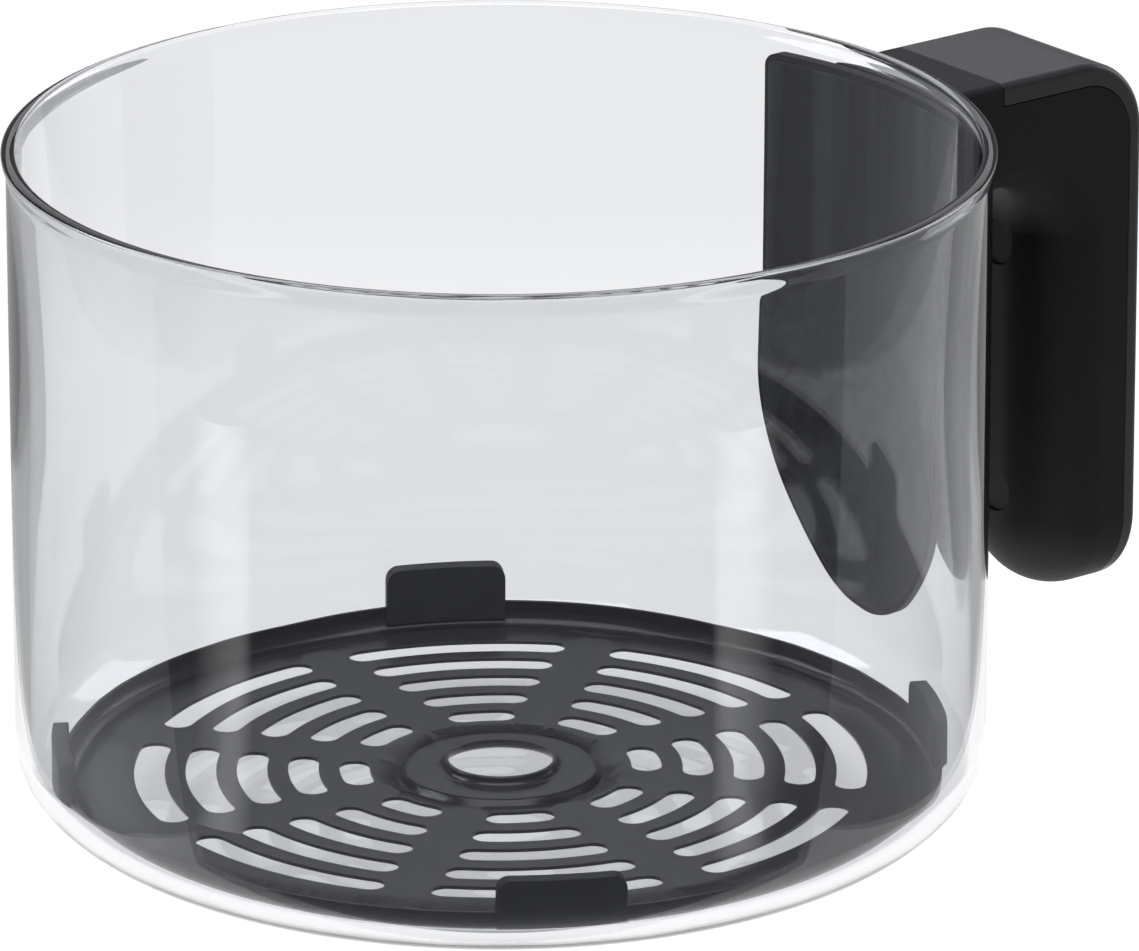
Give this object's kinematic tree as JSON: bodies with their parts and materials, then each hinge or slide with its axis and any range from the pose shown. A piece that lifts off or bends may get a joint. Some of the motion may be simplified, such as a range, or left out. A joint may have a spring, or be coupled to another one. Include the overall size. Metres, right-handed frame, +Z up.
{
  "type": "glass cooking bowl with crisper plate",
  "caption": "Round clear glass cooking bowl with one bonded side handle and a lift-out pressed crisper plate on silicone bumpers.",
  "frame": {"origin": "centre of the bowl's flat foot, on the surface it stands on", "axes": "+Z up along the bowl's axis, +X towards the handle, +Y to the left of the handle seen from above with the handle pointing away"},
  "size_m": [0.2701, 0.2118, 0.1512],
  "materials": {
    "glass": "clear blown borosilicate, fire-polished rim",
    "silicone_bond": "cured black silicone",
    "handle_plastic": "fine-textured black moulding",
    "cover_plastic": "satin black moulding",
    "strap_steel": "plain bent strip",
    "insert_brass": "turned",
    "screw_steel": "zinc plated",
    "nonstick_plate": "black non-stick coating, semi-gloss",
    "bumper_silicone": "soft moulded silicone"
  },
  "bodies": {
    "bowl": {"glass_bowl": "glass", "bond_pad": "silicone_bond", "handle_saddle": "handle_plastic", "handle_grip": "handle_plastic", "handle_cover": "cover_plastic", "handle_strap": "strap_steel", "brass_inserts": "insert_brass", "strap_screws": "screw_steel", "neck_screw": "screw_steel", "cover_screws": "screw_steel", "screw_plugs": "handle_plastic"},
    "crisper": {"crisper_plate": "nonstick_plate", "bumper_1": "bumper_silicone", "bumper_2": "bumper_silicone", "bumper_3": "bumper_silicone", "bumper_4": "bumper_silicone"}
  },
  "joints": [
    {"name": "crisper_lift", "type": "slide", "parent": "bowl", "child": "crisper", "axis": [0, 0, 1], "range_m": [0, 0.16]}
  ]
}
